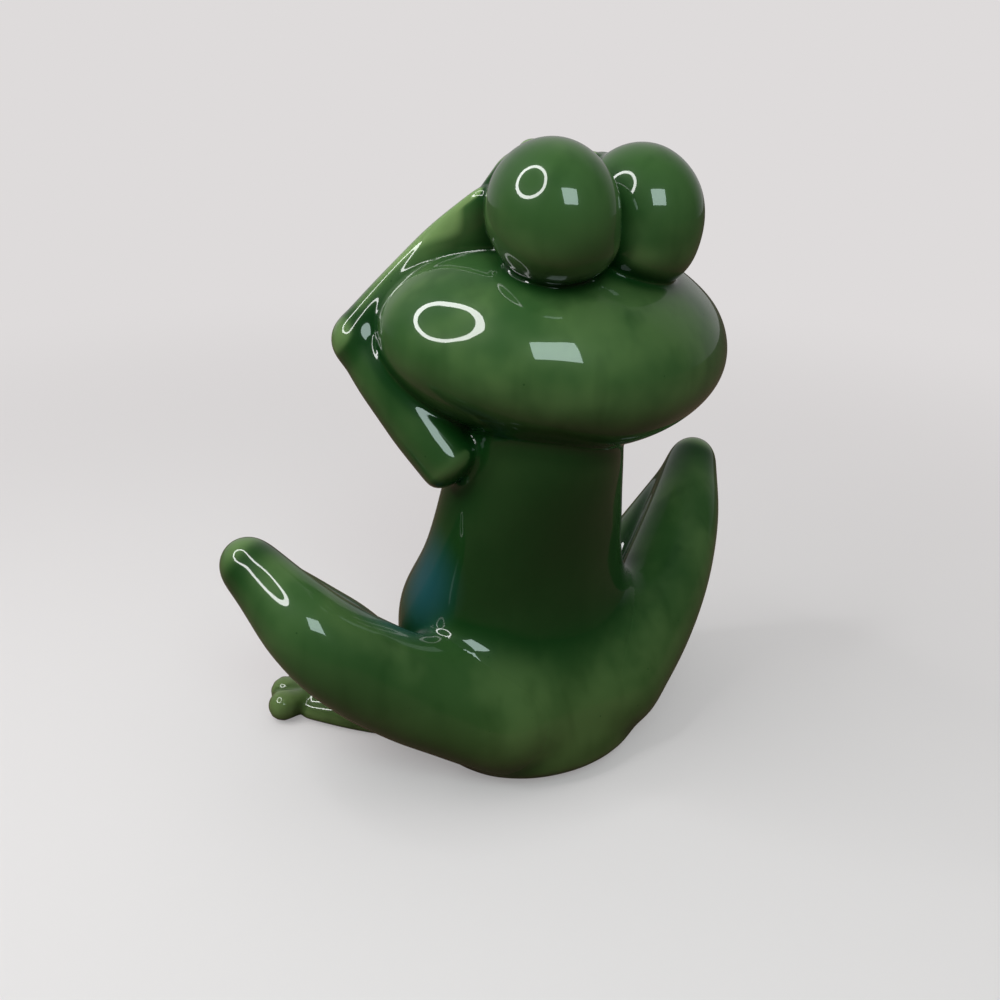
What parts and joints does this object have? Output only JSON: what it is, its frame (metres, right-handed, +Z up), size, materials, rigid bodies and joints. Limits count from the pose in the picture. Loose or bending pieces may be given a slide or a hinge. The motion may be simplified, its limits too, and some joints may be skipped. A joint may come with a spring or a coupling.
{
  "type": "frog figurine",
  "caption": "Sitting frog ornament in glossy green glazed ceramic, knees wide and high, with both hands held over its two domed eyes.",
  "frame": {"origin": "on the table, under the middle of the whole figure's footprint", "axes": "+Z up, the frog faces -Y and its left side is +X"},
  "size_m": [0.141, 0.0754, 0.1453],
  "materials": {
    "green_glaze": "gloss"
  },
  "bodies": {
    "root": {"torso": "green_glaze", "head": "green_glaze", "left_eye": "green_glaze", "right_eye": "green_glaze", "left_upper_arm": "green_glaze", "left_forearm": "green_glaze", "left_hand": "green_glaze", "left_thigh": "green_glaze", "left_shin": "green_glaze", "left_foot": "green_glaze", "right_upper_arm": "green_glaze", "right_forearm": "green_glaze", "right_hand": "green_glaze", "right_thigh": "green_glaze", "right_shin": "green_glaze", "right_foot": "green_glaze"}
  },
  "joints": []
}
